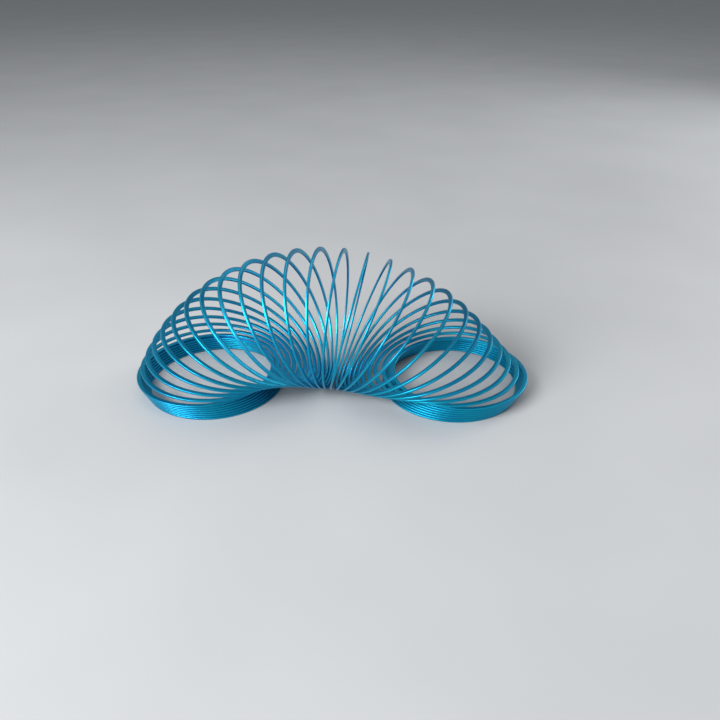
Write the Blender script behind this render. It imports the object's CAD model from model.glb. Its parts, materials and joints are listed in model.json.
"""Spring coil toy standing as an arch: the looks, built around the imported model.

The strip of every body is swept along the same half turns as its CAD node, as one smooth moulded
strip with rounded edges and finished free ends.
"""
import json
import math

import bpy
from mathutils import Matrix, Vector


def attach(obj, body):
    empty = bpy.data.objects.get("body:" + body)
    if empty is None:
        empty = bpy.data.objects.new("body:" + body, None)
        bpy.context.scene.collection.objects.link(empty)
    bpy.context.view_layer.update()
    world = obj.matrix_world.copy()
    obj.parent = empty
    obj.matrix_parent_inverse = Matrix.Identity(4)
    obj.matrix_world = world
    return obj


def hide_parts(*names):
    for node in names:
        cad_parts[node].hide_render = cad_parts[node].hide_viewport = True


MM = 0.001

# ---- Driving dimensions, as in the CAD model, in metres and degrees ----

STRIP_W = 2.45 * MM
STRIP_T = 1.15 * MM
OUTER_D = 75.4 * MM
PITCH = 1.25 * MM
STACK_TURNS = 7
END_SWEEP = math.radians(142)

# A bias makes the two sides of the arch differ, and is added or taken off as the rules below say.
# How fast the turns tip over near the crown
LEAN_POWER = 1.282
LEAN_BIAS = 0.006
# Sideways turn of the crown rings about the vertical
CROWN_YAW = math.radians(7)
# The inner line: its step at the crown, its swing outward, and the crown's shift to the left
CROWN_STEP = 0.935 * MM
STEP_BIAS = 0.719 * MM
SWING_POWER = 2.159
SWING_BIAS = 0.823
CROWN_SHIFT = 1.371 * MM
SHIFT_POWER = 8
# Height of the inner line: at the crown, its climb to a stack, and the shoulder on the way
CROWN_Z = 3.665 * MM
CLIMB_POWER = 11.363
SHOULDER_H = 2.465 * MM
SHOULDER_BIAS = 2.203 * MM
SHOULDER_PLACE = 2.366
PLACE_BIAS = 0.705
SHOULDER_BLUNT = 1.199
# Inner line of a stack at its top turn and at the table
STACK_TOP_X = 33.5 * MM
STACK_FOOT_X = 28.8 * MM

# ---- The swept strip ----

# Steps along half a turn, and the fewest on a shorter piece
ARC_STEPS = 60
FEWEST_STEPS = 8
# Radius of the strip's rounded edges, and points on each
EDGE_RADIUS = 0.28 * MM
EDGE_POINTS = 5
# How far the wide and narrow faces are crowned
FACE_CROWN = 0.03 * MM
# Rings that round off a free end, and the part of a ring's step left open for the flat tip
END_RINGS = 5
END_TIP = 0.35
# Two faces that meet at a sharper angle than this show a crisp line, as at a cut end
CRISP_ANGLE = math.radians(50)

# ---- Looks ----

# Noise scales, per metre, and the detail of each: fine pearl, slow shifts of tint, and scuffs
PEARL = (7000, 2)
BATCH = (34, 3)
SCUFF = (900, 5)
# Flow lines: tight round the strip and long along it
FLOW_STRETCH = (5200, 70, 1)
FLOW = (1, 4)
FLOOR_CLOUD = (9, 2)

# Colour ramps: place on the noise, and colour
WHITE = (1.0, 1.0, 1.0)
TINTS = [(0.3, (0.002, 0.29, 0.53)), (0.7, (0.003, 0.41, 0.59))]
FLECKS = [(0.42, (0.82, 0.86, 0.90)), (0.66, WHITE)]
STREAKS = [(0.35, (0.80, 0.84, 0.90)), (0.65, WHITE)]
FLOOR_TINTS = [(0.3, (0.43, 0.44, 0.45)), (0.7, (0.46, 0.47, 0.48))]
STREAK_SHARE = 0.8
# The edges are rubbed a little lighter
EDGE_TINT = (0.02, 0.55, 0.72)
EDGE_WEAR = 0.18

SATIN = (0.28, 0.44)
METALLIC = 0.88
IOR = 1.5
COAT_WEIGHT = 0.05
COAT_ROUGHNESS = 0.2
FLOOR_ROUGHNESS = 0.55
# Strength and height of the two bumps
FLOW_BUMP = (0.30, 0.03 * MM)
GRAIN_BUMP = (0.12, 0.02 * MM)

# Each light: name, place in metres, width and height, watts
LIGHT_AIM = (0, 0, 0.03)
LIGHTS = [
    ("key", (-0.70, -0.66, 0.62), (0.70, 0.40), 20),
    ("top", (0.15, 0.30, 1.60), (2.20, 2.00), 10),
    ("rim", (0.80, 0.62, 0.50), (0.50, 0.35), 3),
]
STUDIO_COLOUR = (0.80, 0.84, 0.88, 1)
STUDIO_STRENGTH = 0.30
# Half the side of the square floor
FLOOR_REACH = 20.0

# The camera: place in millimetres, its right and its up, and its lens
CAMERA_PLACE = (18.351, -322.046, 207.032)
CAMERA_RIGHT = (0.99991524, 0.01222994, 0.00446446)
CAMERA_UP = (-0.01010496, 0.51280872, 0.85844342)
CAMERA_LENS = 34.01
CAMERA_SENSOR = 36

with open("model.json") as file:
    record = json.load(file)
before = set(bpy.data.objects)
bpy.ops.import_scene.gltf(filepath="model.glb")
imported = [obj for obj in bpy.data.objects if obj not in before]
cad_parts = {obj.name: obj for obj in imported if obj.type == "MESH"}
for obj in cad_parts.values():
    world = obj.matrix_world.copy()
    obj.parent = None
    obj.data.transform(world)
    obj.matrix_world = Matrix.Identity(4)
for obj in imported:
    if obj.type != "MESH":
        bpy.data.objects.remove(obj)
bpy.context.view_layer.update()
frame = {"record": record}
joints = frame["record"]["behaviour"]["joints"]
bodies = frame["record"]["behaviour"]["bodies"]

FAN_TURNS = len(joints) - 1
TURNS = FAN_TURNS + 2 * STACK_TURNS
TURN_D = OUTER_D - STRIP_W
MIDDLE = (TURNS - 1) / 2
STACK_V = (FAN_TURNS + 1) / 2
STACK_TOP_Z = STRIP_T / 2 + (STACK_TURNS - 1) * PITCH
FIRST_HINGE = STACK_TURNS - 1


# ---- Where each turn stands: the CAD model's own rules ----


def along(v):
    return min(abs(v) / STACK_V, 1)


def depth(v):
    return max(abs(v) - STACK_V, 0)


def lean(v):
    side = math.copysign(1, v)
    return side * math.pi / 2 * (1 - (1 - along(v)) ** (LEAN_POWER - side * LEAN_BIAS))


def yaw(v):
    return CROWN_YAW * math.cos(lean(v)) ** 2


def inner(v):
    """The innermost point of turn v, nearest to the bottom of the arch."""
    side = math.copysign(1, v)
    u = along(v)
    step = CROWN_STEP + side * STEP_BIAS
    swing = step * min(abs(v), STACK_V)
    swing += (STACK_TOP_X - step * STACK_V) * u ** (SWING_POWER + side * SWING_BIAS)
    swing += (STACK_FOOT_X - STACK_TOP_X) * depth(v) / (STACK_TURNS - 0.5)
    x = side * swing - CROWN_SHIFT * (1 - u**SHIFT_POWER)
    climb = math.sin(math.pi / 2 * u) ** CLIMB_POWER
    shoulder = SHOULDER_H - side * SHOULDER_BIAS
    rise = abs(math.sin(math.pi * u ** (SHOULDER_PLACE + side * PLACE_BIAS)))
    shoulder *= rise**SHOULDER_BLUNT
    z = CROWN_Z + (STACK_TOP_Z - CROWN_Z) * climb + shoulder - PITCH * depth(v)
    return Vector((x, 0, z))


def across(v):
    return Vector((math.sin(yaw(v)), math.cos(yaw(v)), 0))


def outer(v):
    tip, turn = lean(v), yaw(v)
    out = Vector((math.sin(tip) * math.cos(turn), -math.sin(tip) * math.sin(turn), math.cos(tip)))
    return inner(v) + TURN_D * out


# ---- The line of the strip ----


class HalfTurn:
    """Half a turn from one point to another, bulging to one side."""

    def __init__(self, start, stop, side, sweep=math.pi):
        self.radius = (stop - start).length / 2
        self.centre = (start + stop) / 2
        self.x = (start - stop).normalized()
        self.y = (side - side.dot(self.x) * self.x).normalized()
        self.normal = self.x.cross(self.y)
        self.sweep = sweep

    def point(self, angle):
        turn = math.cos(angle) * self.x + math.sin(angle) * self.y
        return self.centre + self.radius * turn

    def tangent(self, angle):
        return math.cos(angle) * self.y - math.sin(angle) * self.x


def whole_line():
    """Every half turn in order: front 0, back 0, front 1 and so on to the free end."""
    line = []
    for k in range(TURNS):
        v = k - MIDDLE
        last = k == TURNS - 1
        line.append(HalfTurn(inner(v), outer(v), -across(v), END_SWEEP if last else math.pi))
        if not last:
            line.append(HalfTurn(outer(v), inner(v + 1), across(v) + across(v + 1)))
    return line


def ease(s):
    return s * s * (3 - 2 * s)


def stations(line, first, last):
    """Point, tangent and normal along half turns first to last, shared where two of them meet."""
    out = []
    for h in range(first, last + 1):
        half = line[h]
        before = line[h - 1] if h > 0 else half
        after = line[h + 1] if h + 1 < len(line) else half
        n_start = (before.normal + half.normal).normalized()
        n_stop = (half.normal + after.normal).normalized()
        t_start = half.tangent(0)
        if before is not half:
            t_start = (before.tangent(before.sweep) + t_start).normalized()
        t_stop = half.tangent(half.sweep)
        if after is not half:
            t_stop = (t_stop + after.tangent(0)).normalized()
        steps = max(FEWEST_STEPS, round(ARC_STEPS * half.sweep / math.pi))
        for i in range(0 if h == first else 1, steps + 1):
            s = i / steps
            angle = s * half.sweep
            tangent = half.tangent(angle)
            if i == 0:
                tangent = t_start
            if i == steps:
                tangent = t_stop
            normal = n_start.lerp(n_stop, ease(s))
            normal = (normal - normal.dot(tangent) * tangent).normalized()
            out.append((half.point(angle), tangent, normal))
    return out


# ---- From line to mesh ----


def section():
    """Points round the strip's section: across, through the thickness, and how much on an edge."""
    points = []
    flat_w = STRIP_W / 2 - FACE_CROWN - EDGE_RADIUS
    flat_t = STRIP_T / 2 - FACE_CROWN - EDGE_RADIUS
    # The four faces in turn: each is a crowned middle point, then the rounded edge after it
    for quarter in range(4):
        turn = math.pi / 2 * quarter
        narrow = quarter % 2 == 0
        reach = (STRIP_W if narrow else STRIP_T) / 2
        points.append((reach * math.cos(turn), reach * math.sin(turn), 0.0))
        corner_w = math.copysign(flat_w, math.cos(turn + math.pi / 4))
        corner_t = math.copysign(flat_t, math.sin(turn + math.pi / 4))
        for i in range(EDGE_POINTS):
            s = i / (EDGE_POINTS - 1)
            a = turn + math.pi / 2 * s
            w = corner_w + EDGE_RADIUS * math.cos(a)
            t = corner_t + EDGE_RADIUS * math.sin(a)
            points.append((w, t, math.sin(math.pi * s)))
    return points


def rounded_end(station, direction):
    """Rings that close a free end: copies of the end station, moved on and made smaller."""
    point, tangent, normal = station
    rings = []
    for i in range(1, END_RINGS + 1):
        a = math.pi / 2 * i / (END_RINGS + END_TIP)
        reach = direction * STRIP_T / 2 * math.sin(a)
        rings.append(((point + reach * tangent, tangent, normal), math.cos(a)))
    return rings


def sweep_strip(name, path, free_start, free_stop):
    """One closed strip along a path; the UV map keeps the way round it and the way along it."""
    rings = [(station, 1.0) for station in path]
    if free_start:
        rings = rounded_end(path[0], -1)[::-1] + rings
    if free_stop:
        rings += rounded_end(path[-1], 1)
    shape = section()
    count = len(shape)
    verts = []
    edge = []
    length = []
    run = 0.0
    previous = rings[0][0][0]
    for (point, tangent, normal), scale in rings:
        radial = normal.cross(tangent)
        run += (point - previous).length
        previous = point
        length.append(run)
        for w, t, amount in shape:
            offset = w * radial + t * normal
            verts.append(point + scale * offset)
            edge.append(amount)
    faces = []
    for r in range(len(rings) - 1):
        for i in range(count):
            j = (i + 1) % count
            low, high = r * count, (r + 1) * count
            faces.append((low + i, low + j, high + j, high + i))
    faces.append(tuple(range(count))[::-1])
    faces.append(tuple((len(rings) - 1) * count + i for i in range(count)))

    mesh = bpy.data.meshes.new(name)
    mesh.from_pydata(verts, [], faces)
    mesh.update()
    worn = mesh.attributes.new("edge", "FLOAT", "POINT")
    worn.data.foreach_set("value", edge)
    uv = mesh.uv_layers.new(name="strip")
    girth = 2 * (STRIP_W + STRIP_T)
    for face_at, polygon in enumerate(mesh.polygons):
        side = face_at < len(faces) - 2
        polygon.use_smooth = side
        i = face_at % count
        for corner, loop in enumerate(polygon.loop_indices):
            ring = mesh.loops[loop].vertex_index // count
            step = i + (1 if side and corner in (1, 2) else 0)
            uv.data[loop].uv = (girth * step / count, length[ring])
    mesh.set_sharp_from_angle(angle=CRISP_ANGLE)
    obj = bpy.data.objects.new(name, mesh)
    bpy.context.scene.collection.objects.link(obj)
    return obj


# ---- Materials ----


class Nodes:
    """A short way to add and join shader nodes."""

    def __init__(self, name):
        self.material = bpy.data.materials.new(name)
        self.material.use_nodes = True
        self.tree = self.material.node_tree
        self.shader = self.tree.nodes["Principled BSDF"]

    def add(self, kind, **values):
        node = self.tree.nodes.new(kind)
        for key, value in values.items():
            setattr(node, key, value)
        return node

    def link(self, source, target):
        self.tree.links.new(source, target)

    def noise(self, vector, kind):
        scale, detail = kind
        node = self.add("ShaderNodeTexNoise")
        node.inputs["Scale"].default_value = scale
        node.inputs["Detail"].default_value = detail
        self.link(vector, node.inputs["Vector"])
        return node.outputs["Fac"]

    def ramp(self, value, stops):
        node = self.add("ShaderNodeValToRGB")
        marks = node.color_ramp.elements
        # A new mark starts halfway, and the loop below puts it in its place
        while len(marks) < len(stops):
            marks.new(0.5)
        for mark, (place, colour) in zip(marks, stops):
            mark.position = place
            mark.color = (*colour, 1)
        self.link(value, node.inputs["Fac"])
        return node.outputs["Color"]

    def scaled(self, value, low, high):
        node = self.add("ShaderNodeMapRange")
        node.inputs["To Min"].default_value = low
        node.inputs["To Max"].default_value = high
        self.link(value, node.inputs["Value"])
        return node.outputs["Result"]

    def mix(self, factor, first, second, blend="MIX"):
        node = self.add("ShaderNodeMix", data_type="RGBA", blend_type=blend)
        # Factor, A and B of the colour mode
        sockets = (node.inputs[0], node.inputs[6], node.inputs[7])
        for socket, value in zip(sockets, (factor, first, second)):
            if isinstance(value, bpy.types.NodeSocket):
                self.link(value, socket)
            elif isinstance(value, tuple):
                socket.default_value = (*value, 1)
            else:
                socket.default_value = value
        return node.outputs[2]

    def bump(self, height, amount, under=None):
        strength, distance = amount
        node = self.add("ShaderNodeBump")
        node.inputs["Strength"].default_value = strength
        node.inputs["Distance"].default_value = distance
        self.link(height, node.inputs["Height"])
        if under:
            self.link(under, node.inputs["Normal"])
        return node.outputs["Normal"]


def pearl_plastic():
    """Satin blue plastic with a fine pearl in it, flow lines along the strip and polished edges."""
    n = Nodes("pearl_blue_plastic")
    place = n.add("ShaderNodeTexCoord").outputs["Object"]
    uv = n.add("ShaderNodeUVMap", uv_map="strip").outputs["UV"]
    edge = n.add("ShaderNodeAttribute", attribute_name="edge").outputs["Fac"]

    stretch = n.add("ShaderNodeMapping")
    stretch.inputs["Scale"].default_value = FLOW_STRETCH
    n.link(uv, stretch.inputs["Vector"])
    flow = n.noise(stretch.outputs["Vector"], FLOW)
    pearl = n.noise(place, PEARL)
    batch = n.noise(place, BATCH)
    scuff = n.noise(place, SCUFF)

    tint = n.ramp(batch, TINTS)
    flecks = n.ramp(pearl, FLECKS)
    colour = n.mix(1.0, tint, flecks, "MULTIPLY")
    streaks = n.ramp(flow, STREAKS)
    colour = n.mix(STREAK_SHARE, colour, streaks, "MULTIPLY")
    worn = n.scaled(edge, 0, EDGE_WEAR)
    colour = n.mix(worn, colour, EDGE_TINT)
    n.link(colour, n.shader.inputs["Base Color"])

    rough = n.scaled(scuff, *SATIN)
    n.link(rough, n.shader.inputs["Roughness"])
    lines = n.bump(flow, FLOW_BUMP)
    grain = n.bump(pearl, GRAIN_BUMP, lines)
    n.link(grain, n.shader.inputs["Normal"])

    n.shader.inputs["Metallic"].default_value = METALLIC
    n.shader.inputs["IOR"].default_value = IOR
    n.shader.inputs["Coat Weight"].default_value = COAT_WEIGHT
    n.shader.inputs["Coat Roughness"].default_value = COAT_ROUGHNESS
    return n.material


def pale_floor():
    n = Nodes("pale_floor")
    place = n.add("ShaderNodeTexCoord").outputs["Object"]
    cloud = n.noise(place, FLOOR_CLOUD)
    colour = n.ramp(cloud, FLOOR_TINTS)
    n.link(colour, n.shader.inputs["Base Color"])
    n.shader.inputs["Roughness"].default_value = FLOOR_ROUGHNESS
    return n.material


# ---- The scene ----


def build_coil():
    line = whole_line()
    plastic = pearl_plastic()
    last_half = len(line) - 1
    # Body number i starts at the outer point of turn FIRST_HINGE + i - 1
    chain = ["stack_left"] + [joint["child"] for joint in joints]
    for i, body in enumerate(chain):
        first = 0 if i == 0 else 2 * (FIRST_HINGE + i - 1) + 1
        last = last_half if i == len(chain) - 1 else 2 * (FIRST_HINGE + i)
        path = stations(line, first, last)
        piece = sweep_strip(body + "_strip", path, first == 0, last == last_half)
        piece.data.materials.append(plastic)
        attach(piece, body)
        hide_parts(*bodies[body])


def build_floor():
    half = FLOOR_REACH
    corners = [(-half, -half, 0), (half, -half, 0), (half, half, 0), (-half, half, 0)]
    mesh = bpy.data.meshes.new("floor")
    mesh.from_pydata(corners, [], [(0, 1, 2, 3)])
    floor = bpy.data.objects.new("floor", mesh)
    floor.data.materials.append(pale_floor())
    bpy.context.scene.collection.objects.link(floor)


def soft_light(name, place, size, power):
    data = bpy.data.lights.new(name, "AREA")
    data.shape = "RECTANGLE"
    data.size, data.size_y = size
    data.energy = power
    light = bpy.data.objects.new(name, data)
    light.location = place
    aim = Vector(LIGHT_AIM) - Vector(place)
    light.rotation_euler = aim.to_track_quat("-Z", "Y").to_euler()
    bpy.context.scene.collection.objects.link(light)


def build_lights():
    for light in LIGHTS:
        soft_light(*light)
    world = bpy.data.worlds.new("studio")
    world.use_nodes = True
    sky = world.node_tree.nodes["Background"]
    sky.inputs["Color"].default_value = STUDIO_COLOUR
    sky.inputs["Strength"].default_value = STUDIO_STRENGTH
    bpy.context.scene.world = world
    bpy.context.scene.view_settings.view_transform = "Standard"


def build_camera():
    right = Vector(CAMERA_RIGHT)
    up = Vector(CAMERA_UP)
    back = right.cross(up)
    data = bpy.data.cameras.new("camera")
    data.sensor_width = CAMERA_SENSOR
    data.lens = CAMERA_LENS
    camera = bpy.data.objects.new("camera", data)
    turn = Matrix((right, up, back)).transposed().to_4x4()
    camera.matrix_world = Matrix.Translation(Vector(CAMERA_PLACE) * MM) @ turn
    bpy.context.scene.collection.objects.link(camera)
    bpy.context.scene.camera = camera


build_camera()
build_coil()
build_floor()
build_lights()
